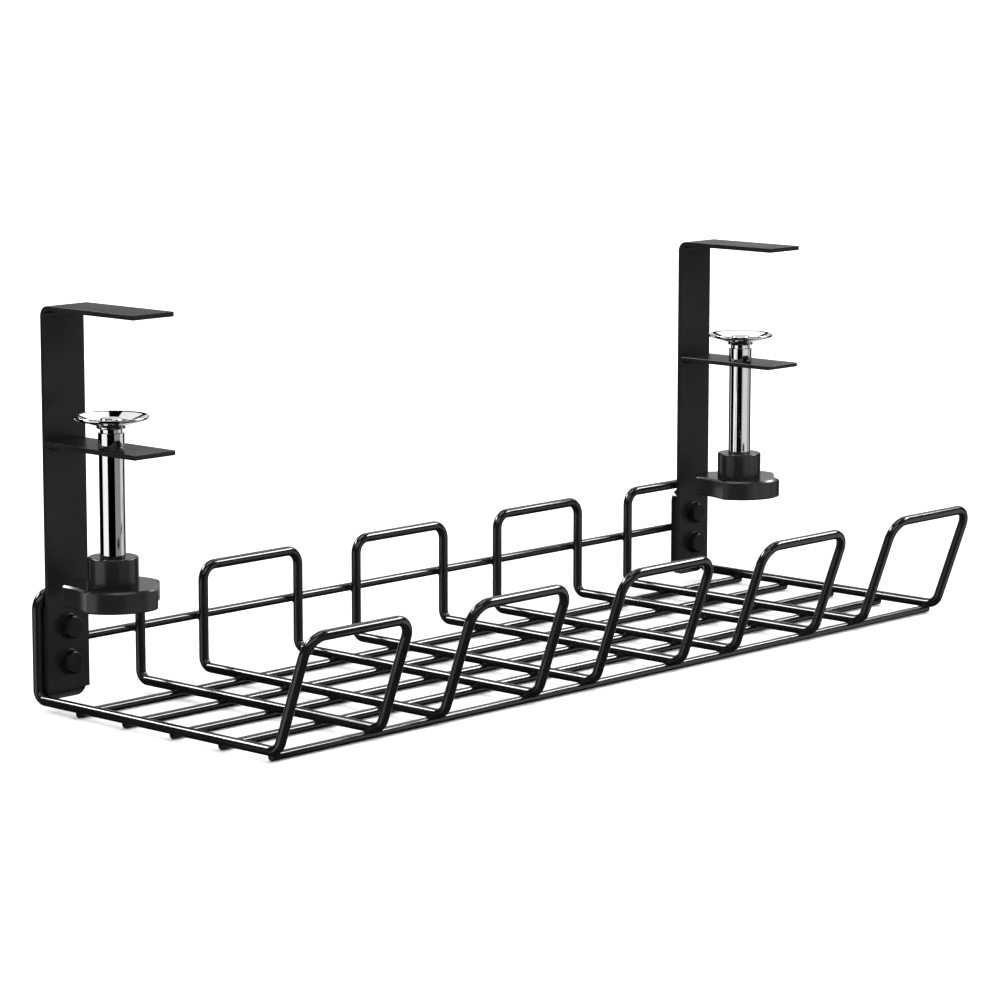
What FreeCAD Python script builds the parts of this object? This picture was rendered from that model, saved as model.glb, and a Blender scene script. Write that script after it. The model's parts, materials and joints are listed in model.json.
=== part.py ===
"""Clamp-on wire cable tray.

A basket of five welded wire loops hangs under the back edge of a desk from two screw clamps.
Millimetres and degrees. +Z is up, +X runs along the tray and the open jaws face -Y.
The origin is under the middle of the tray, level with the undersides of its lowest wires.

Every piece is drawn in tray coordinates, whose y is 0 at the back legs' centreline and whose z
is 0 at the floor rods' centreline. Clamp pieces have x = 0 in the middle of their strap.
Each Placement then carries its piece to the frame above.
"""
import FreeCAD, Part
import math
import os
import Sketcher

doc = FreeCAD.newDocument("cable_tray")
dims = doc.addObject("Spreadsheet::Sheet", "dims")

DIMENSIONS = {
    # whole tray
    "tray_length": 400.0,
    "leg_line": 72.6,
    "floor_height": 4.4,
    # wire loops
    "loop_count": 5,
    "loop_wire": 4.0,
    "loop_width": 52.3,
    "floor_depth": 132.5,
    "back_height": 40.9,
    "front_length": 46.8,
    "front_lean": 20.0,
    "top_back_bend": 6.0,
    "low_back_bend": 4.0,
    "low_front_bend": 6.0,
    "top_front_bend": 8.0,
    # long wires
    "long_wire": 3.4,
    "bottom_wire_length": 396.0,
    "bottom_wire_shift": 1.2,
    "bottom_wire_drop": 2.7,
    "first_wire_depth": 21.6,
    "bottom_wire_pitch": 26.4,
    "back_wire_length": 390.5,
    "back_wire_height": 20.6,
    "back_wire_setback": 3.6,
    # mounting plates
    "plate_width": 20.4,
    "plate_thickness": 3.0,
    "plate_low": -0.5,
    "plate_high": 38.6,
    "plate_corner": 5.0,
    # straps and arms
    "clamp_offset": 186.2,
    "strap_width": 20.2,
    "strap_thickness": 1.9,
    "strap_front": 4.7,
    "strap_low": 2.9,
    "strap_bend": 2.2,
    "top_arm_height": 151.7,
    "low_arm_height": 99.7,
    "arm_reach": 55.6,
    # bolts and nuts, M5
    "bolt_size": 5.0,
    "bolt_hole": 5.3,
    "bolt_length": 10.0,
    "low_bolt_height": 13.8,
    "high_bolt_height": 27.6,
    "hex_width": 8.0,
    "head_height": 3.7,
    "nut_height": 4.0,
    "hex_bevel": 0.5,
    # clamp screw, M10 x 1.5
    "screw_reach": 31.0,
    "screw_size": 9.85,
    "screw_hole": 9.95,
    "screw_low": 44.5,
    "shoulder_size": 10.2,
    "shoulder_low": 100.0,
    "shoulder_high": 105.1,
    "spigot_size": 8.6,
    "spigot_high": 107.6,
    # pressure pad
    "neck_size": 11.3,
    "neck_bore": 8.7,
    "neck_low": 106.7,
    "neck_high": 107.7,
    "step_height": 107.9,
    "dish_floor": 109.2,
    "dish_floor_size": 15.0,
    "dish_mouth_size": 27.2,
    "pad_size": 29.0,
    "lip_low": 110.2,
    "lip_slope": 0.6,
    "pad_high": 111.5,
    # rivet in the screw's tip
    "rivet_size": 4.0,
    "rivet_hole": 4.16,
    "rivet_low": 100.0,
    "rivet_head_size": 8.4,
    "rivet_head_low": 109.5,
    "rivet_head_high": 110.6,
    "rivet_head_bevel": 0.5,
    # knob
    "grip_size": 38.8,
    "grip_low": 38.8,
    "grip_high": 47.2,
    "grip_flat_reach": 16.0,
    "grip_flat_curve": 40.0,
    "grip_bevel": 0.7,
    "hub_size": 19.3,
    "hub_high": 57.9,
    "hub_bevel": 0.6,
    "insert_size": 14.0,
    "insert_high": 56.0,
    "insert_waist": 12.6,
    "insert_waist_low": 48.5,
    "insert_waist_high": 52.0,
}

# Directions of the knob's three grip flats, seen from above and measured from +X.
GRIP_FLAT_ANGLES = (62.5, 169.0, 316.0)

BOTTOM_WIRE_COUNT = 5

SIDES = {"left": -1, "right": 1}

for row, (name, value) in enumerate(DIMENSIONS.items(), start=1):
    dims.set(f"A{row}", name)
    dims.set(f"B{row}", str(value))
    dims.setAlias(f"B{row}", name)
doc.recompute()


def worked_out(expression):
    """The present value of an expression on the sheet's cells, as a plain number."""
    value = dims.evalExpression(expression)
    return float(getattr(value, "Value", value))


def place(obj, along_x="0", along_y="0", along_z="0"):
    """Carry a piece from tray coordinates, moved by the three given distances."""
    obj.setExpression("Placement.Base.x", f"({along_x}) * 1 mm")
    obj.setExpression("Placement.Base.y", f"(dims.leg_line + {along_y}) * 1 mm")
    obj.setExpression("Placement.Base.z", f"(dims.floor_height + {along_z}) * 1 mm")


def place_at_clamp(obj, side, along_y="0", along_z="0"):
    """Carry a clamp piece to its own end of the tray."""
    place(obj, f"{SIDES[side]} * dims.clamp_offset", along_y, along_z)


def origin_plane(body, role):
    """One of a body's own origin planes."""
    return next(feature for feature in body.Origin.OriginFeatures if feature.Role == role)


def new_body(name):
    body = doc.addObject("PartDesign::Body", name)
    body.Label = name
    return body


def new_sketch(body, name, role):
    sketch = body.newObject("Sketcher::SketchObject", f"{body.Name}_{name}")
    sketch.AttachmentSupport = [(origin_plane(body, role), "")]
    sketch.MapMode = "FlatFace"
    return sketch


def drive(sketch, kind, geometry, point, expression):
    """Bind one coordinate of a sketched point, measured from the sketch's origin."""
    index = sketch.addConstraint(
        Sketcher.Constraint(kind, -1, 1, geometry, point, worked_out(expression)))
    sketch.setExpression(f"Constraints[{index}]", f"({expression}) * 1 mm")


def sketch_outline(body, name, role, corners):
    """A closed outline of straight lines. Each corner is a pair of expressions."""
    sketch = new_sketch(body, name, role)
    points = [FreeCAD.Vector(worked_out(across), worked_out(up), 0) for across, up in corners]
    for start, end in zip(points, points[1:] + points[:1]):
        sketch.addGeometry(Part.LineSegment(start, end), False)
    for index, (across, up) in enumerate(corners):
        sketch.addConstraint(
            Sketcher.Constraint("Coincident", index - 1 if index else len(corners) - 1, 2, index, 1))
        drive(sketch, "DistanceX", index, 1, across)
        drive(sketch, "DistanceY", index, 1, up)
    return sketch


def sketch_circles(body, name, role, circles):
    """Circles, each given by expressions for its centre and its diameter."""
    sketch = new_sketch(body, name, role)
    for index, (across, up, size) in enumerate(circles):
        centre = FreeCAD.Vector(worked_out(across), worked_out(up), 0)
        circle = Part.Circle(centre, FreeCAD.Vector(0, 0, 1), worked_out(size) / 2)
        sketch.addGeometry(circle, False)
        drive(sketch, "DistanceX", index, 3, across)
        drive(sketch, "DistanceY", index, 3, up)
        constraint = sketch.addConstraint(Sketcher.Constraint("Diameter", index, worked_out(size)))
        sketch.setExpression(f"Constraints[{constraint}]", f"({size}) * 1 mm")
    return sketch


def pad(body, sketch, length, midplane=False, reverse=False):
    feature = body.newObject("PartDesign::Pad", f"{sketch.Name}_pad")
    feature.Profile = sketch
    feature.Midplane = midplane
    feature.Reversed = reverse
    feature.setExpression("Length", f"({length}) * 1 mm")
    doc.recompute()
    return feature


def pocket_through(body, sketch):
    feature = body.newObject("PartDesign::Pocket", f"{sketch.Name}_pocket")
    feature.Profile = sketch
    feature.Type = "ThroughAll"
    feature.Midplane = True
    doc.recompute()
    return feature


def revolve(body, sketch):
    """Turn a profile about the sketch's vertical axis."""
    feature = body.newObject("PartDesign::Revolution", f"{sketch.Name}_turn")
    feature.Profile = sketch
    feature.ReferenceAxis = (sketch, ["V_Axis"])
    feature.Angle = 360
    doc.recompute()
    return feature


def dress(body, kind, name, edges, size):
    """A PartDesign::Fillet or Chamfer on chosen edges of the body's last feature."""
    base = body.Tip
    feature = body.newObject(kind, f"{body.Name}_{name}")
    feature.Base = (base, edges)
    feature.setExpression("Radius" if kind.endswith("Fillet") else "Size", f"({size}) * 1 mm")
    doc.recompute()
    return feature


def edges_where(body, test):
    """The names of the edges of a body's last feature that pass a test."""
    return [f"Edge{number}" for number, edge in enumerate(body.Tip.Shape.Edges, start=1) if test(edge)]


def level_edges(body, height, beyond):
    """The names of the edges that lie at one height, further than a radius from the z axis."""
    def outer_and_level(edge):
        box = edge.BoundBox
        start = edge.Vertexes[0].Point
        level = abs(box.ZMin - height) < 1e-4 and abs(box.ZMax - height) < 1e-4
        return level and math.hypot(start.x, start.y) > beyond + 0.01
    return edges_where(body, outer_and_level)


def rounded_path(corners, bends):
    """Edges of a path through the corners, with a tangent arc at each inner corner."""
    edges = []
    start = corners[0]
    for before, corner, after, radius in zip(corners, corners[1:], corners[2:], bends):
        inward = (before - corner).normalize()
        outward = (after - corner).normalize()
        half_angle = inward.getAngle(outward) / 2
        run = radius / math.tan(half_angle)
        middle_line = (inward + outward).normalize()
        centre = corner + middle_line * (radius / math.sin(half_angle))
        arc_start = corner + inward * run
        arc_end = corner + outward * run
        edges.append(Part.LineSegment(start, arc_start).toShape())
        edges.append(Part.Arc(arc_start, centre - middle_line * radius, arc_end).toShape())
        start = arc_end
    edges.append(Part.LineSegment(start, corners[-1]).toShape())
    return edges


def loop_shape():
    """One closed wire loop: half of it is swept, mirrored and joined."""
    half_width = dims.loop_width / 2
    lean = math.radians(dims.front_lean)
    front_y = -dims.floor_depth - dims.front_length * math.sin(lean)
    front_z = dims.front_length * math.cos(lean)
    corners = [
        FreeCAD.Vector(0, 0, dims.back_height),
        FreeCAD.Vector(half_width, 0, dims.back_height),
        FreeCAD.Vector(half_width, 0, 0),
        FreeCAD.Vector(half_width, -dims.floor_depth, 0),
        FreeCAD.Vector(half_width, front_y, front_z),
        FreeCAD.Vector(0, front_y, front_z),
    ]
    bends = [dims.top_back_bend, dims.low_back_bend, dims.low_front_bend, dims.top_front_bend]
    path = Part.Wire(rounded_path(corners, bends))
    section = Part.Wire(Part.makeCircle(dims.loop_wire / 2, corners[0], FreeCAD.Vector(1, 0, 0)))
    half = path.makePipeShell([section], True, False)
    other_half = half.mirror(FreeCAD.Vector(0, 0, 0), FreeCAD.Vector(1, 0, 0))
    return half.fuse(other_half).removeSplitter().Solids[0]


def make_loops():
    shape = loop_shape()
    loops = []
    for number in range(int(dims.loop_count)):
        loop = doc.addObject("Part::Feature", f"tray_loop_{number + 1}")
        loop.Shape = shape.copy()
        outer_span = "(dims.tray_length - dims.loop_wire - dims.loop_width)"
        place(loop, f"({number} / (dims.loop_count - 1) - 1 / 2) * {outer_span}")
        loops.append(loop)
    return loops


def long_wire(name, length, along_x, along_y, along_z):
    """A straight wire along the tray, its middle moved by along_x from the tray's middle."""
    wire = doc.addObject("Part::Cylinder", name)
    wire.Placement.Rotation = FreeCAD.Rotation(FreeCAD.Vector(0, 1, 0), 90)
    wire.setExpression("Radius", "dims.long_wire / 2 * 1 mm")
    wire.setExpression("Height", f"{length} * 1 mm")
    place(wire, f"{along_x} - {length} / 2", along_y, along_z)
    return wire


def make_long_wires():
    wires = [
        long_wire(
            f"bottom_wire_{number + 1}",
            "dims.bottom_wire_length",
            "dims.bottom_wire_shift",
            f"-dims.first_wire_depth - {number} * dims.bottom_wire_pitch",
            "-dims.bottom_wire_drop",
        )
        for number in range(BOTTOM_WIRE_COUNT)
    ]
    wires.append(long_wire(
        "back_wire", "dims.back_wire_length", "0", "dims.back_wire_setback", "dims.back_wire_height"))
    return wires


def mounting_plate(side):
    """The welded plate that the strap is bolted to."""
    body = new_body(f"mounting_plate_{side}")
    half = "dims.plate_width / 2"
    corners = [
        (f"-{half}", "dims.plate_low"),
        (half, "dims.plate_low"),
        (half, "dims.plate_high"),
        (f"-{half}", "dims.plate_high"),
    ]
    pad(body, sketch_outline(body, "face", "XZ_Plane", corners), "dims.plate_thickness", reverse=True)
    upright = edges_where(body, lambda edge: edge.BoundBox.YLength > dims.plate_thickness / 2)
    dress(body, "PartDesign::Fillet", "corners", upright, "dims.plate_corner")
    bolt_holes(body)
    place_at_clamp(body, side, "dims.strap_thickness - dims.strap_front")
    return body


def bolt_holes(body):
    """Two clearance holes, one above the other."""
    holes = [
        ("0", "dims.low_bolt_height", "dims.bolt_hole"),
        ("0", "dims.high_bolt_height", "dims.bolt_hole"),
    ]
    pocket_through(body, sketch_circles(body, "bolt_holes", "XZ_Plane", holes))


def strap(side):
    """The upright flat bar, bent forward at the top into the arm that lies on the desk."""
    body = new_body(f"strap_{side}")
    front = "-dims.strap_front"
    back = "dims.strap_thickness - dims.strap_front"
    corners = [
        (front, "dims.strap_low"),
        (back, "dims.strap_low"),
        (back, "dims.top_arm_height"),
        ("-dims.arm_reach", "dims.top_arm_height"),
        ("-dims.arm_reach", "dims.top_arm_height - dims.strap_thickness"),
        (front, "dims.top_arm_height - dims.strap_thickness"),
    ]
    sketch = sketch_outline(body, "side_view", "YZ_Plane", corners)
    pad(body, sketch, "dims.strap_width", midplane=True)

    def bend_edge(y, z):
        def test(edge):
            box = edge.BoundBox
            across = box.XLength > dims.strap_width / 2
            return across and abs(box.Center.y - y) < 0.01 and abs(box.Center.z - z) < 0.01
        return test

    inner = edges_where(
        body, bend_edge(-dims.strap_front, dims.top_arm_height - dims.strap_thickness))
    dress(body, "PartDesign::Fillet", "inner_bend", inner, "dims.strap_bend")
    outer = edges_where(
        body, bend_edge(dims.strap_thickness - dims.strap_front, dims.top_arm_height))
    dress(body, "PartDesign::Fillet", "outer_bend", outer, "dims.strap_bend + dims.strap_thickness")
    bolt_holes(body)
    place_at_clamp(body, side)
    return body


def lower_arm(side):
    """The short bar welded to the strap's front, with the hole that the screw runs in."""
    body = new_body(f"lower_arm_{side}")
    half = "dims.strap_width / 2"
    corners = [
        (f"-{half}", "-dims.arm_reach"),
        (half, "-dims.arm_reach"),
        (half, "-dims.strap_front"),
        (f"-{half}", "-dims.strap_front"),
    ]
    pad(body, sketch_outline(body, "plan", "XY_Plane", corners), "dims.strap_thickness", reverse=True)
    hole = sketch_circles(body, "screw_hole", "XY_Plane", [("0", "-dims.screw_reach", "dims.screw_hole")])
    pocket_through(body, hole)
    place_at_clamp(body, side, along_z="dims.low_arm_height")
    return body


def turned(name, side, profile):
    """A piece turned about the clamp screw's axis, from (radius, height) expressions."""
    body = new_body(f"{name}_{side}")
    revolve(body, sketch_outline(body, "profile", "XZ_Plane", profile))
    place_at_clamp(body, side, "-dims.screw_reach")
    return body


def clamp_screw(side):
    return turned("clamp_screw", side, [
        ("0", "dims.screw_low"),
        ("dims.screw_size / 2", "dims.screw_low"),
        ("dims.screw_size / 2", "dims.shoulder_low"),
        ("dims.shoulder_size / 2", "dims.shoulder_low"),
        ("dims.shoulder_size / 2", "dims.shoulder_high"),
        ("dims.spigot_size / 2", "dims.shoulder_high"),
        ("dims.spigot_size / 2", "dims.spigot_high"),
        ("dims.rivet_size / 2", "dims.spigot_high"),
        ("dims.rivet_size / 2", "dims.rivet_low"),
        ("0", "dims.rivet_low"),
    ])


def pressure_pad(side):
    return turned("pressure_pad", side, [
        ("dims.neck_bore / 2", "dims.neck_low"),
        ("dims.neck_size / 2", "dims.neck_low"),
        ("dims.neck_size / 2", "dims.neck_high"),
        ("dims.pad_size / 2 - dims.lip_slope", "dims.lip_low"),
        ("dims.pad_size / 2", "dims.lip_low"),
        ("dims.pad_size / 2", "dims.pad_high"),
        ("dims.dish_mouth_size / 2", "dims.pad_high"),
        ("dims.dish_floor_size / 2", "dims.dish_floor"),
        ("dims.rivet_hole / 2", "dims.dish_floor"),
        ("dims.rivet_hole / 2", "dims.step_height"),
        ("dims.neck_bore / 2", "dims.step_height"),
    ])


def pad_rivet(side):
    return turned("pad_rivet", side, [
        ("0", "dims.rivet_low"),
        ("dims.rivet_size / 2", "dims.rivet_low"),
        ("dims.rivet_size / 2", "dims.rivet_head_low"),
        ("dims.rivet_head_size / 2", "dims.rivet_head_low"),
        ("dims.rivet_head_size / 2", "dims.rivet_head_high - dims.rivet_head_bevel"),
        ("dims.rivet_head_size / 2 - dims.rivet_head_bevel", "dims.rivet_head_high"),
        ("0", "dims.rivet_head_high"),
    ])


def knob(side):
    """The hand knob, moulded round its insert: a round grip with three flats, and a hub."""
    body = turned("knob", side, [
        ("0", "dims.grip_low"),
        ("dims.grip_size / 2", "dims.grip_low"),
        ("dims.grip_size / 2", "dims.grip_high"),
        ("dims.hub_size / 2", "dims.grip_high"),
        ("dims.hub_size / 2", "dims.hub_high"),
        ("dims.screw_hole / 2", "dims.hub_high"),
        ("dims.screw_hole / 2", "dims.insert_high"),
        ("dims.insert_size / 2", "dims.insert_high"),
        ("dims.insert_size / 2", "dims.insert_waist_high"),
        ("dims.insert_waist / 2", "dims.insert_waist_high"),
        ("dims.insert_waist / 2", "dims.insert_waist_low"),
        ("dims.insert_size / 2", "dims.insert_waist_low"),
        ("dims.insert_size / 2", "dims.screw_low"),
        ("0", "dims.screw_low"),
    ])
    reach = "(dims.grip_flat_reach + dims.grip_flat_curve)"
    flats = [
        (f"{reach} * cos({angle} deg)", f"{reach} * sin({angle} deg)", "2 * dims.grip_flat_curve")
        for angle in GRIP_FLAT_ANGLES
    ]
    for number, flat in enumerate(flats, start=1):
        pocket_through(body, sketch_circles(body, f"flat_{number}", "XY_Plane", [flat]))
    dress(body, "PartDesign::Chamfer", "grip_bevel",
          level_edges(body, dims.grip_low, 0) + level_edges(body, dims.grip_high, dims.hub_size / 2),
          "dims.grip_bevel")
    dress(body, "PartDesign::Fillet", "hub_rounding",
          level_edges(body, dims.hub_high, dims.screw_hole / 2), "dims.hub_bevel")
    return body


def knob_insert(side):
    return turned("knob_insert", side, [
        ("dims.screw_size / 2", "dims.screw_low"),
        ("dims.insert_size / 2", "dims.screw_low"),
        ("dims.insert_size / 2", "dims.insert_waist_low"),
        ("dims.insert_waist / 2", "dims.insert_waist_low"),
        ("dims.insert_waist / 2", "dims.insert_waist_high"),
        ("dims.insert_size / 2", "dims.insert_waist_high"),
        ("dims.insert_size / 2", "dims.insert_high"),
        ("dims.screw_size / 2", "dims.insert_high"),
    ])


def hexagon(name, height):
    """A hexagonal prism along +Z with a corner pointing along +Y."""
    prism = doc.addObject("Part::Prism", f"{name}_hexagon")
    prism.Polygon = 6
    prism.setExpression("Circumradius", "dims.hex_width / sqrt(3) * 1 mm")
    prism.setExpression("Height", f"{height} * 1 mm")
    prism.Placement.Rotation = FreeCAD.Rotation(FreeCAD.Vector(0, 0, 1), 30)
    return prism


def bevel_cone(name, height, upside_down=False):
    """A cone that turns the six corners off one end of a hexagon."""
    small = "(dims.hex_width / 2 - dims.hex_bevel / 2)"
    wide = f"({small} + {height} * sqrt(3))"
    cone = doc.addObject("Part::Cone", f"{name}_bevel")
    cone.setExpression("Height", f"{height} * 1 mm")
    cone.setExpression("Radius1", f"{small if upside_down else wide} * 1 mm")
    cone.setExpression("Radius2", f"{wide if upside_down else small} * 1 mm")
    return cone


def common(name, base, tool):
    shared = doc.addObject("Part::Common", name)
    shared.Base = base
    shared.Tool = tool
    return shared


def rod(name, size, low, high):
    """A round rod along +Z between two heights."""
    cylinder = doc.addObject("Part::Cylinder", name)
    cylinder.setExpression("Radius", f"{size} / 2 * 1 mm")
    cylinder.setExpression("Height", f"({high} - ({low})) * 1 mm")
    cylinder.setExpression("Placement.Base.z", f"({low}) * 1 mm")
    return cylinder


def bolt(name):
    """A hexagon bolt whose head stands on z = 0 and whose shank points down."""
    head = common(
        f"{name}_head", hexagon(name, "dims.head_height"), bevel_cone(name, "dims.head_height"))
    shank = rod(f"{name}_shank", "dims.bolt_size", "-dims.bolt_length", "dims.head_height / 2")
    whole = doc.addObject("Part::MultiFuse", name)
    whole.Shapes = [head, shank]
    return whole


def nut(name):
    """A hexagon nut that stands on z = 0."""
    top = common(f"{name}_top", hexagon(name, "dims.nut_height"), bevel_cone(name, "dims.nut_height"))
    both = common(f"{name}_both", top, bevel_cone(f"{name}_low", "dims.nut_height", upside_down=True))
    whole = doc.addObject("Part::Cut", name)
    whole.Base = both
    whole.Tool = rod(f"{name}_bore", "dims.bolt_size", "-1", "dims.nut_height + 1")
    return whole


def fastener_group(name, make_one, along_y):
    """Four equal fasteners as separate solids in one node, their tops facing forward."""
    pieces = []
    for side in SIDES:
        for height in ("low", "high"):
            piece = make_one(f"{name}_{side}_{height}")
            piece.Placement.Rotation = FreeCAD.Rotation(FreeCAD.Vector(1, 0, 0), 90)
            place_at_clamp(piece, side, along_y, f"dims.{height}_bolt_height")
            pieces.append(piece)
    group = doc.addObject("Part::Compound", name)
    group.Links = pieces
    return group


def check_and_export(nodes):
    """Write each node's STEP file, after making sure that nothing in the document failed."""
    doc.recompute()
    for obj in doc.Objects:
        if "Invalid" in obj.State or "Error" in obj.State:
            raise RuntimeError(f"{obj.Name} has not computed: {obj.State}")
    os.makedirs("parts", exist_ok=True)
    for node in nodes:
        if node.Shape.isNull() or not node.Shape.isValid() or not node.Shape.Solids:
            raise RuntimeError(f"{node.Name} has no valid solid")
        node.Shape.exportStep(f"parts/{node.Label}.step")


nodes = make_loops() + make_long_wires()
for side in SIDES:
    for make_piece in (mounting_plate, strap, lower_arm, clamp_screw, pressure_pad, pad_rivet,
                       knob, knob_insert):
        nodes.append(make_piece(side))
nodes.append(fastener_group("fixing_bolts", bolt, "-dims.strap_front"))
nodes.append(fastener_group(
    "fixing_nuts",
    nut,
    "dims.strap_thickness - dims.strap_front + dims.plate_thickness + dims.nut_height",
))
check_and_export(nodes)
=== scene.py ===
"""Looks of the clamp-on wire cable tray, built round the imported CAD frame. Metres."""
import bmesh
import bpy
import json
import math
from mathutils import Matrix, Vector

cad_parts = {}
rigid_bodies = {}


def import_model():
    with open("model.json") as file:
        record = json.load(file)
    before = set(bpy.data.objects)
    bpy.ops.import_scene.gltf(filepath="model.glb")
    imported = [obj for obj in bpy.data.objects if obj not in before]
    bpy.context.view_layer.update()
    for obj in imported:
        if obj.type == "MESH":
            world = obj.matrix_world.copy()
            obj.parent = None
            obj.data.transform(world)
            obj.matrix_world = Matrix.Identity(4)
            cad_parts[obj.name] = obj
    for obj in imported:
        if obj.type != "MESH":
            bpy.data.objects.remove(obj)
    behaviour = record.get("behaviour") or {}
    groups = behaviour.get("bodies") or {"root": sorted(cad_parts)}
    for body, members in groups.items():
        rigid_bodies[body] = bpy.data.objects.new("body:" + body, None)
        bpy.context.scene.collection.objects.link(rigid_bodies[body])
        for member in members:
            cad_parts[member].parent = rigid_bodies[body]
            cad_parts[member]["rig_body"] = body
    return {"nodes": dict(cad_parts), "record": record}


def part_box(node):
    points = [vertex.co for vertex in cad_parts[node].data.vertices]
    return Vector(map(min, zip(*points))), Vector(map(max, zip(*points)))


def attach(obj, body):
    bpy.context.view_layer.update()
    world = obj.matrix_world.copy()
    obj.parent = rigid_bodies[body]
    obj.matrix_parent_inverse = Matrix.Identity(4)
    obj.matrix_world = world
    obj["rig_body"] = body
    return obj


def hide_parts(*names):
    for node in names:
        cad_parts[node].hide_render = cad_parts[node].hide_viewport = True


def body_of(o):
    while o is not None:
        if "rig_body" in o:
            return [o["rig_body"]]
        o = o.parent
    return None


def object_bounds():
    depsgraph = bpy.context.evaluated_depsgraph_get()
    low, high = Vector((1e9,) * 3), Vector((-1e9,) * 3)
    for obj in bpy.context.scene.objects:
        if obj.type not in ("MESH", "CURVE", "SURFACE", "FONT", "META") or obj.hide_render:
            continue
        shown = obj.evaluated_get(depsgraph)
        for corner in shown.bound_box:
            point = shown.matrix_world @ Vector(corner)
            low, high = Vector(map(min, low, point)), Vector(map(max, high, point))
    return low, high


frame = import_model()
cad_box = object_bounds()

SIDES = ("left", "right")

# The camera: direction of view in degrees, distance and aim in metres from the object's middle.
VIEW_AZIMUTH = -47.13
VIEW_ELEVATION = 9.09
VIEW_ROLL = 0.07
VIEW_DISTANCE = 1.5117
AIM_OFFSET = Vector((-0.0089, 0.0070, -0.01155))
LENS_MM = 133.97
SENSOR_MM = 36.0
CLIP_END = 200.0

FLOOR_HALF_SIDE = 30.0
FLOOR_GAP = 0.0002
WORLD_STRENGTH = 2.0

# The reflectors' distance from the tray's middle, and the degrees of turn of one flat strip.
REFLECTOR_RADIUS = 1.2
REFLECTOR_STEP = 4

# Reflectors: name, turn from the camera's side, angles above the tray's middle, brightness.
REFLECTORS = [
    ("left_low", (-79, -36), (-32, 0), 1.2),
    ("left_high", (-122, -84), (33, 47), 30.0),
    ("front_high", (-44, 36), (24, 52), 1.6),
    ("right_low", (22, 76), (-32, 0), 0.30),
    ("right_side", (98, 120), (-32, 0), 0.5),
    ("right_high", (94, 130), (31, 44), 28.0),
    ("back_side", (150, 242), (-32, 0), 0.7),
    ("back_low", (140, 220), (2, 13), 0.7),
    ("back_high", (130, 192), (22, 62), 1.3),
    ("back_left_high", (203, 235), (22, 62), 1.0),
]

# The card overhead: half its side and its height over the tray's middle, brightness.
TOP_CARD = (0.45, 1.5, 3.0)

# A card beside the right clamp: the x and y of its two upright ends, its heights, brightness.
NEAR_CARD = ((0.048, -0.283), (0.339, -0.156), (-0.15, 0.09), 0.8)


def node_box(node):
    """A CAD node's lowest and highest corners."""
    return [Vector(corner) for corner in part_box(node)]


def tray_middle():
    low, high = cad_box
    return (Vector(low) + Vector(high)) / 2


def add_camera():
    azimuth = math.radians(VIEW_AZIMUTH)
    elevation = math.radians(VIEW_ELEVATION)
    towards_camera = Vector((
        math.sin(azimuth) * math.cos(elevation),
        -math.cos(azimuth) * math.cos(elevation),
        math.sin(elevation),
    ))
    data = bpy.data.cameras.new("camera")
    data.lens = LENS_MM
    data.sensor_width = SENSOR_MM
    data.clip_end = CLIP_END
    camera = bpy.data.objects.new("camera", data)
    bpy.context.scene.collection.objects.link(camera)
    place = tray_middle() + AIM_OFFSET + towards_camera * VIEW_DISTANCE
    look = (-towards_camera).to_track_quat("-Z", "Y").to_matrix().to_4x4()
    roll = Matrix.Rotation(math.radians(VIEW_ROLL), 4, "Z")
    camera.matrix_world = Matrix.Translation(place) @ look @ roll
    bpy.context.scene.camera = camera


# ---------------------------------------------------------------- materials

# The part of a noise signal over which a tint goes from its dark to its light colour.
TINT_RANGE = (0.3, 0.7)


def new_material(name, colour, roughness, metallic=0.0, specular=0.5):
    """A material with its node tree and its shader."""
    material = bpy.data.materials.new(name)
    material.use_nodes = True
    shader = material.node_tree.nodes["Principled BSDF"]
    shader.inputs["Base Color"].default_value = (*colour, 1.0)
    shader.inputs["Roughness"].default_value = roughness
    shader.inputs["Metallic"].default_value = metallic
    shader.inputs["Specular IOR Level"].default_value = specular
    return material, material.node_tree, shader


def noise(tree, scale, detail=2.0, stretch=(1.0, 1.0, 1.0)):
    """Noise over the piece's own coordinates."""
    place = tree.nodes.new("ShaderNodeTexCoord")
    mapping = tree.nodes.new("ShaderNodeMapping")
    mapping.inputs["Scale"].default_value = stretch
    texture = tree.nodes.new("ShaderNodeTexNoise")
    texture.inputs["Scale"].default_value = scale
    texture.inputs["Detail"].default_value = detail
    tree.links.new(place.outputs["Object"], mapping.inputs["Vector"])
    tree.links.new(mapping.outputs["Vector"], texture.inputs["Vector"])
    return texture.outputs["Fac"]


def spread(tree, source, low, high):
    """Turn a 0 to 1 signal into a range of values."""
    node = tree.nodes.new("ShaderNodeMapRange")
    node.inputs["To Min"].default_value = low
    node.inputs["To Max"].default_value = high
    tree.links.new(source, node.inputs["Value"])
    return node.outputs["Result"]


def tint(tree, source, dark, light):
    """Blend between two colours by a signal."""
    ramp = tree.nodes.new("ShaderNodeValToRGB")
    for stop, position, colour in zip(ramp.color_ramp.elements, TINT_RANGE, (dark, light)):
        stop.position = position
        stop.color = (*colour, 1.0)
    tree.links.new(source, ramp.inputs["Fac"])
    return ramp.outputs["Color"]


def add_bump(tree, shader, source, height_mm, strength=1.0):
    bump = tree.nodes.new("ShaderNodeBump")
    bump.inputs["Distance"].default_value = height_mm / 1000
    bump.inputs["Strength"].default_value = strength
    tree.links.new(source, bump.inputs["Height"])
    tree.links.new(bump.outputs["Normal"], shader.inputs["Normal"])


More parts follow.
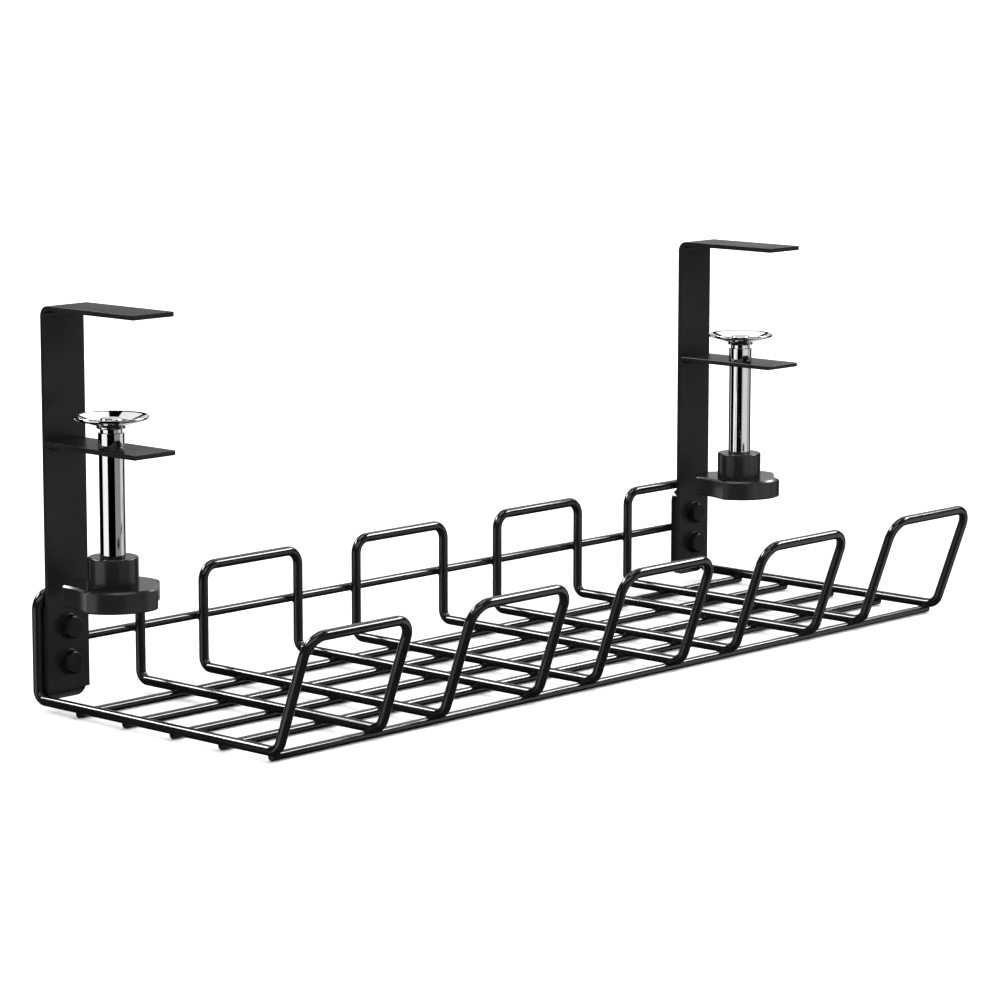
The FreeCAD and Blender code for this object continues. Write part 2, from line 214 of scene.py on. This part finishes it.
def powder_coat(name, tone, roughness, specular):
    """Satin black powder coat: fine orange peel and a slightly uneven sheen."""
    material, tree, shader = new_material(name, (tone,) * 3, roughness, specular=specular)
    peel = noise(tree, scale=900.0)
    cloud = noise(tree, scale=55.0, detail=3.0)
    tree.links.new(
        tint(tree, cloud, (tone * 0.8,) * 3, (tone * 1.25, tone * 1.25, tone * 1.3)),
        shader.inputs["Base Color"])
    tree.links.new(
        spread(tree, cloud, roughness * 0.8, roughness * 1.3), shader.inputs["Roughness"])
    add_bump(tree, shader, peel, height_mm=0.012)
    return material


def chrome(name, tone, roughness):
    """Bright plated steel with faint turning marks and a little hazing."""
    bright = (tone, tone, tone * 1.01)
    material, tree, shader = new_material(name, bright, roughness, metallic=1.0)
    marks = noise(tree, scale=60.0, detail=3.0, stretch=(1.0, 1.0, 40.0))
    haze = noise(tree, scale=140.0, detail=4.0)
    tree.links.new(
        spread(tree, haze, roughness * 0.6, roughness * 1.5), shader.inputs["Roughness"])
    tree.links.new(tint(tree, haze, (tone * 0.94,) * 3, bright), shader.inputs["Base Color"])
    add_bump(tree, shader, marks, height_mm=0.004, strength=0.5)
    return material


def moulded_plastic():
    """Black moulded plastic with a fine spark-eroded grain."""
    tone = 0.009
    material, tree, shader = new_material("knob_plastic", (tone,) * 3, 0.22, specular=0.4)
    grain = noise(tree, scale=1600.0)
    cloud = noise(tree, scale=70.0, detail=3.0)
    tree.links.new(spread(tree, cloud, 0.16, 0.27), shader.inputs["Roughness"])
    tree.links.new(
        tint(tree, cloud, (tone * 0.8,) * 3, (tone * 1.3,) * 3), shader.inputs["Base Color"])
    add_bump(tree, shader, grain, height_mm=0.02)
    return material


def black_zinc():
    """Blackened steel of the fixings, worn a little brighter in places."""
    dark, middle, light = (0.002, 0.002, 0.0024), (0.003, 0.003, 0.0035), (0.005, 0.005, 0.0056)
    material, tree, shader = new_material("black_zinc", middle, 0.4, specular=0.25)
    wear = noise(tree, scale=260.0, detail=5.0)
    tree.links.new(tint(tree, wear, dark, light), shader.inputs["Base Color"])
    tree.links.new(spread(tree, wear, 0.34, 0.5), shader.inputs["Roughness"])
    add_bump(tree, shader, wear, height_mm=0.01)
    return material


def turned_brass():
    """Turned brass with fine rings."""
    dark, middle, light = (0.6, 0.42, 0.18), (0.72, 0.52, 0.24), (0.75, 0.56, 0.27)
    material, tree, shader = new_material("insert_brass", middle, 0.3, metallic=1.0)
    marks = noise(tree, scale=80.0, detail=3.0, stretch=(1.0, 1.0, 30.0))
    tree.links.new(spread(tree, marks, 0.22, 0.4), shader.inputs["Roughness"])
    tree.links.new(tint(tree, marks, dark, light), shader.inputs["Base Color"])
    add_bump(tree, shader, marks, height_mm=0.01)
    return material


MATERIALS = {
    "tray_coating": powder_coat("tray_coating", tone=0.0045, roughness=0.14, specular=0.5),
    "clamp_coating": powder_coat("clamp_coating", tone=0.0066, roughness=0.30, specular=0.24),
    "screw_chrome": chrome("screw_chrome", tone=0.78, roughness=0.035),
    "pad_chrome": chrome("pad_chrome", tone=0.85, roughness=0.05),
    "knob_plastic": moulded_plastic(),
    "black_zinc": black_zinc(),
    "insert_brass": turned_brass(),
}


# ---------------------------------------------------------------- pieces

# Nodes whose edges are broken, as a cutter, a press or a mould leaves them: the start of a name,
# the bevel's width in mm, and the least angle of a sharp edge in degrees. The first match counts.
BROKEN_EDGES = [
    ("strap", 0.45, 32),
    ("lower_arm", 0.4, 32),
    ("mounting_plate", 0.4, 32),
    ("knob_insert", 0.2, 20),
    ("knob", 0.35, 20),
    ("clamp_screw", 0.2, 32),
    ("pad_rivet", 0.3, 32),
    ("fixing_", 0.15, 20),
    ("bottom_wire", 0.5, 32),
    ("back_wire", 0.5, 32),
]

# Points that are closer than this in metres are one point, and faces that meet at less than this
# in degrees are one face.
SAME_POINT = 1e-6
SAME_PLANE = 0.6

BEVEL_SEGMENTS = 3
SHADING_WEIGHT = 90


def break_edges(node, width_mm, least_angle):
    """A copy of a CAD node with small rounded bevels along its sharp edges, shown in its place."""
    source = frame["nodes"][node]
    mesh = bpy.data.meshes.new(f"{node}_finished")
    shape = bmesh.new()
    shape.from_mesh(source.data)
    bmesh.ops.remove_doubles(shape, verts=shape.verts, dist=SAME_POINT)
    bmesh.ops.dissolve_limit(
        shape, angle_limit=math.radians(SAME_PLANE), verts=shape.verts, edges=shape.edges)
    shape.to_mesh(mesh)
    shape.free()
    obj = new_piece(mesh.name, mesh, slot_of(node), body_of(source)[0])
    add_bevel(obj, width_mm, BEVEL_SEGMENTS, least_angle)
    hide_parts(node)


def break_all_edges():
    for node in frame["nodes"]:
        for start, width_mm, least_angle in BROKEN_EDGES:
            if node.startswith(start):
                break_edges(node, width_mm, least_angle)
                break


def new_piece(name, mesh, slot, body):
    """A piece of our own making on one of the CAD bodies."""
    obj = bpy.data.objects.new(name, mesh)
    bpy.context.scene.collection.objects.link(obj)
    for polygon in mesh.polygons:
        polygon.use_smooth = True
    mesh.materials.append(MATERIALS[slot])
    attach(obj, body)
    return obj


def add_bevel(obj, width_mm, segments, least_angle):
    """Round every edge sharper than an angle in degrees, and keep the flat faces' shading flat."""
    bevel = obj.modifiers.new("broken_edges", "BEVEL")
    bevel.width = width_mm / 1000
    bevel.segments = segments
    bevel.limit_method = "ANGLE"
    bevel.angle_limit = math.radians(least_angle)
    bevel.use_clamp_overlap = True
    shading = obj.modifiers.new("shading", "WEIGHTED_NORMAL")
    shading.weight = SHADING_WEIGHT


def lathe(name, profile, place, segments):
    """A mesh turned about its own z axis. The profile is a closed list of radii and heights."""
    verts, faces = [], []
    count = len(profile)
    for step in range(segments):
        angle = 2 * math.pi * step / segments
        for radius, height in profile:
            verts.append(
                (radius / 1000 * math.cos(angle), radius / 1000 * math.sin(angle), height / 1000))
    for step in range(segments):
        here, there = step * count, (step + 1) % segments * count
        for point in range(count):
            after = (point + 1) % count
            faces.append((here + point, there + point, there + after, here + after))
    mesh = bpy.data.meshes.new(name)
    mesh.from_pydata(verts, [], faces)
    mesh.transform(place)
    return mesh


# The bevel on lathed pieces: its segments, and the least angle of a sharp edge in degrees.
LATHED_BEVEL = (2, 40)

# The pressed steel pad, inside and then outside: radius and height over the pad's underside, mm.
PAD_PROFILE = [
    (2.08, 2.50), (7.30, 2.50), (7.65, 2.58), (12.7, 4.52), (13.1, 4.64), (14.2, 4.78),
    (14.42, 4.74), (14.50, 4.55), (14.47, 4.05), (14.30, 3.72), (13.9, 3.52), (12.9, 3.20),
    (6.2, 1.18), (5.80, 0.98), (5.65, 0.70), (5.65, 0.12), (5.55, 0.0), (4.45, 0.0), (4.35, 0.12),
    (4.35, 1.20), (2.08, 1.20),
]
PAD_SEGMENTS = 112
PAD_BEVEL_MM = 0.12


def add_pad(side):
    """The dished pad, turned about the upright line through the middle of its CAD node."""
    node = f"pressure_pad_{side}"
    low, high = node_box(node)
    centre = Vector(((low.x + high.x) / 2, (low.y + high.y) / 2, low.z))
    mesh = lathe(f"{node}_pressed", PAD_PROFILE, Matrix.Translation(centre), PAD_SEGMENTS)
    pad = new_piece(mesh.name, mesh, "pad_chrome", f"pad_{side}")
    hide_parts(node)
    add_bevel(pad, PAD_BEVEL_MM, *LATHED_BEVEL)


# The washer face under a bolt head: radius and height over the strap, mm.
WASHER_PROFILE = [
    (3.0, -0.05), (4.75, -0.05), (4.95, 0.15), (4.95, 0.55), (4.75, 0.75), (3.0, 0.75),
]
WASHER_SEGMENTS = 64
WASHER_BEVEL_MM = 0.08

# A bolt's points further than this in front of the strap belong to its head, in metres.
HEAD_START = 0.001


def add_washer_faces():
    """A round washer face under each of the four bolt heads, on the strap's front."""
    facing_front = Matrix.Rotation(math.radians(90), 4, "X")
    bolts = frame["nodes"]["fixing_bolts"].data
    below_arms = node_box("lower_arm_left")[0].z
    strap_front = min(
        vert.co.y for vert in frame["nodes"]["strap_left"].data.vertices if vert.co.z < below_arms)
    heads = [vert.co for vert in bolts.vertices if vert.co.y < strap_front - HEAD_START]
    middle_z = (min(co.z for co in heads) + max(co.z for co in heads)) / 2
    for side, right in zip(SIDES, (-1, 1)):
        for level, up in (("low", -1), ("high", 1)):
            mine = [co for co in heads if co.x * right > 0 and (co.z - middle_z) * up > 0]
            centre = Vector((
                (min(co.x for co in mine) + max(co.x for co in mine)) / 2,
                strap_front,
                (min(co.z for co in mine) + max(co.z for co in mine)) / 2,
            ))
            name = f"washer_face_{side}_{level}"
            place = Matrix.Translation(centre) @ facing_front
            mesh = lathe(name, WASHER_PROFILE, place, WASHER_SEGMENTS)
            washer = new_piece(name, mesh, "black_zinc", "tray")
            add_bevel(washer, WASHER_BEVEL_MM, *LATHED_BEVEL)


BEAD_RADIUS = 0.00125
BEAD_RINGS = 44
BEAD_SPOKES = 12

# The bead's centre line, in metres: in from the arm's sides, and into the corner it fills.
BEAD_INSET = 0.0012
BEAD_SINK = 0.0003

# The bead's radius grows from BEAD_TIP of its full size over 1 / BEAD_TAPER of its length.
BEAD_TAPER = 6
BEAD_TIP = 0.05

# The bead's ripples along its length: height as a share of the radius, pace, start.
BEAD_RIPPLES = [(0.10, 58, 0.0), (0.05, 23, 1.3)]


def ripple_bead(name, start, end, body):
    """A weld bead from one point to another: a lumpy rod that sinks into the corner it fills."""
    rings, spokes = BEAD_RINGS, BEAD_SPOKES
    along = end - start
    side = along.orthogonal().normalized()
    up = along.normalized().cross(side)
    verts, faces = [], []
    for ring in range(rings + 1):
        share = ring / rings
        taper = min(1.0, BEAD_TAPER * min(share, 1 - share)) ** 0.5
        ripple = 1 + sum(
            height * math.sin(share * pace + begin) for height, pace, begin in BEAD_RIPPLES)
        size = BEAD_RADIUS * max(BEAD_TIP, taper) * ripple
        for spoke in range(spokes):
            angle = 2 * math.pi * spoke / spokes
            outward = side * math.cos(angle) + up * math.sin(angle)
            verts.append(start + along * share + outward * size)
    for ring in range(rings):
        for spoke in range(spokes):
            after = (spoke + 1) % spokes
            faces.append((
                ring * spokes + spoke, ring * spokes + after,
                (ring + 1) * spokes + after, (ring + 1) * spokes + spoke))
    faces.append(tuple(reversed(range(spokes))))
    faces.append(tuple(rings * spokes + spoke for spoke in range(spokes)))
    mesh = bpy.data.meshes.new(name)
    mesh.from_pydata(verts, [], faces)
    new_piece(name, mesh, "clamp_coating", body)


def add_arm_weld(side):
    """The fillet weld under the lower arm, where it meets the strap."""
    low, high = node_box(f"lower_arm_{side}")
    y, z = high.y - BEAD_SINK, low.z - BEAD_SINK
    start, end = Vector((low.x + BEAD_INSET, y, z)), Vector((high.x - BEAD_INSET, y, z))
    ripple_bead(f"arm_weld_{side}", start, end, "tray")


LOOP_NUMBERS = range(1, 6)
BOTTOM_WIRE_NUMBERS = range(1, 6)
LOOP_RADIUS = 0.002

# Weld lumps: half sizes in metres, and how far their middles sink into the wire or the loops.
FLOOR_LUMP = (0.0023, 0.0022, 0.0007)
FLOOR_LUMP_SINK = 0.0003
BACK_LUMP = (0.0022, 0.0006, 0.0021)
BACK_LUMP_SINK = 0.0002
LUMP_SUBDIVISIONS = 2

# A lump's unevenness as a share of its size, and how fast it changes along x and y.
LUMP_UNEVENNESS = 0.12
LUMP_WAVES = (9, 5)


def rod_positions():
    """The x of each floor rod, two to a loop, from the loops' boxes."""
    positions = []
    for number in LOOP_NUMBERS:
        low, high = node_box(f"tray_loop_{number}")
        positions += [low.x + LOOP_RADIUS, high.x - LOOP_RADIUS]
    return positions


def blob(shape, centre, sizes):
    """A small smooth lump added to a bmesh, its half sizes in metres."""
    made = bmesh.ops.create_icosphere(shape, subdivisions=LUMP_SUBDIVISIONS, radius=1.0)
    for vert in made["verts"]:
        wave = math.sin(LUMP_WAVES[0] * vert.co.x + LUMP_WAVES[1] * vert.co.y)
        squeeze = 1 + LUMP_UNEVENNESS * wave
        vert.co = centre + Vector((
            vert.co.x * sizes[0] * squeeze, vert.co.y * sizes[1] * squeeze, vert.co.z * sizes[2]))


def add_crossing_welds():
    """Metal squeezed out where a long wire is resistance-welded to a rod, under the coating."""
    shape = bmesh.new()
    rods = rod_positions()
    for number in BOTTOM_WIRE_NUMBERS:
        low, high = node_box(f"bottom_wire_{number}")
        for x in rods:
            if low.x < x < high.x:
                place = Vector((x, (low.y + high.y) / 2, high.z - FLOOR_LUMP_SINK))
                blob(shape, place, FLOOR_LUMP)
    low, high = node_box("back_wire")
    loop_back = node_box("tray_loop_1")[1].y
    for x in rods[1:-1]:
        blob(shape, Vector((x, loop_back - BACK_LUMP_SINK, (low.z + high.z) / 2)), BACK_LUMP)
    mesh = bpy.data.meshes.new("crossing_welds")
    shape.to_mesh(mesh)
    shape.free()
    new_piece("crossing_welds", mesh, "tray_coating", "tray")


def slot_of(node):
    parts = frame["record"]["subparts"]
    return next(part["material_slot"] for part in parts if part["node"] == node)


def dress_cad_nodes():
    """Give every CAD node the material of its slot."""
    for name, obj in frame["nodes"].items():
        material = MATERIALS[slot_of(name)]
        if obj.material_slots:
            for place in obj.material_slots:
                place.material = material
        else:
            obj.data.materials.append(material)


# ---------------------------------------------------------------- studio

def stage_object(name, data):
    """An object of the studio, which isn't part of the tray."""
    obj = bpy.data.objects.new(name, data)
    bpy.context.scene.collection.objects.link(obj)
    return obj


def add_floor():
    """A plain pale floor. Glossy coats don't mirror it, so it puts no light band on the wires."""
    half = FLOOR_HALF_SIDE
    mesh = bpy.data.meshes.new("floor")
    corners = [(-half, -half, 0.0), (half, -half, 0.0), (half, half, 0.0), (-half, half, 0.0)]
    mesh.from_pydata(corners, [], [(0, 1, 2, 3)])
    floor = stage_object("floor", mesh)
    paper, _, _ = new_material("floor_paper", (0.93, 0.93, 0.93), 0.9, specular=0.0)
    mesh.materials.append(paper)
    floor.location.z = cad_box[0][2] - FLOOR_GAP
    floor.visible_glossy = False


def add_world():
    """White light from everywhere. Glossy coats mirror the reflectors round the tray instead."""
    world = bpy.data.worlds.new("studio")
    bpy.context.scene.world = world
    world.use_nodes = True
    world.cycles_visibility.glossy = False
    background = world.node_tree.nodes["Background"]
    background.inputs["Color"].default_value = (1.0, 1.0, 1.0, 1.0)
    background.inputs["Strength"].default_value = WORLD_STRENGTH


def add_card(name, uprights, brightness):
    """A white card that only glossy surfaces mirror. It runs through lines of two points each."""
    verts = [point for upright in uprights for point in upright]
    faces = [
        (2 * step, 2 * step + 2, 2 * step + 3, 2 * step + 1) for step in range(len(uprights) - 1)]
    mesh = bpy.data.meshes.new(name)
    mesh.from_pydata(verts, [], faces)
    card = stage_object(name, mesh)
    card.visible_camera = False
    card.visible_diffuse = False
    card.visible_transmission = False
    card.visible_shadow = False
    material = bpy.data.materials.new(name)
    material.use_nodes = True
    tree = material.node_tree
    tree.nodes.clear()
    glow = tree.nodes.new("ShaderNodeEmission")
    glow.inputs["Strength"].default_value = brightness
    output = tree.nodes.new("ShaderNodeOutputMaterial")
    tree.links.new(glow.outputs["Emission"], output.inputs["Surface"])
    mesh.materials.append(material)


def add_reflector(name, turn, rise, brightness):
    """A card curved round the tray.

    turn is its start and end in degrees round the tray, counted from the camera's side towards
    the right of the picture. rise is its lowest and highest angle above the tray's middle.
    """
    centre = tray_middle()
    steps = round((turn[1] - turn[0]) / REFLECTOR_STEP)
    uprights = []
    for step in range(steps + 1):
        angle = math.radians(VIEW_AZIMUTH + turn[0] + (turn[1] - turn[0]) * step / steps)
        uprights.append([
            centre + REFLECTOR_RADIUS * Vector(
                (math.sin(angle), -math.cos(angle), math.tan(math.radians(up))))
            for up in rise
        ])
    add_card(name, uprights, brightness)


def add_top_card():
    """A level card over the tray, for the tops of the arms and wires."""
    half, rise, brightness = TOP_CARD
    centre = tray_middle() + Vector((0, 0, rise))
    add_card("overhead", [
        [centre + Vector((x, -half, 0)), centre + Vector((x, half, 0))] for x in (-half, half)
    ], brightness)


def add_near_card():
    """An upright card close to the right clamp, for the light half of its screw."""
    first, second, (low, high), brightness = NEAR_CARD
    add_card("right_near", [[(*end, low), (*end, high)] for end in (first, second)], brightness)


def add_studio():
    add_floor()
    add_world()
    for reflector in REFLECTORS:
        add_reflector(*reflector)
    add_near_card()
    add_top_card()
    add_camera()
    bpy.context.scene.view_settings.view_transform = "Standard"


dress_cad_nodes()
break_all_edges()
for side in SIDES:
    add_pad(side)
    add_arm_weld(side)
add_crossing_welds()
add_washer_faces()
add_studio()
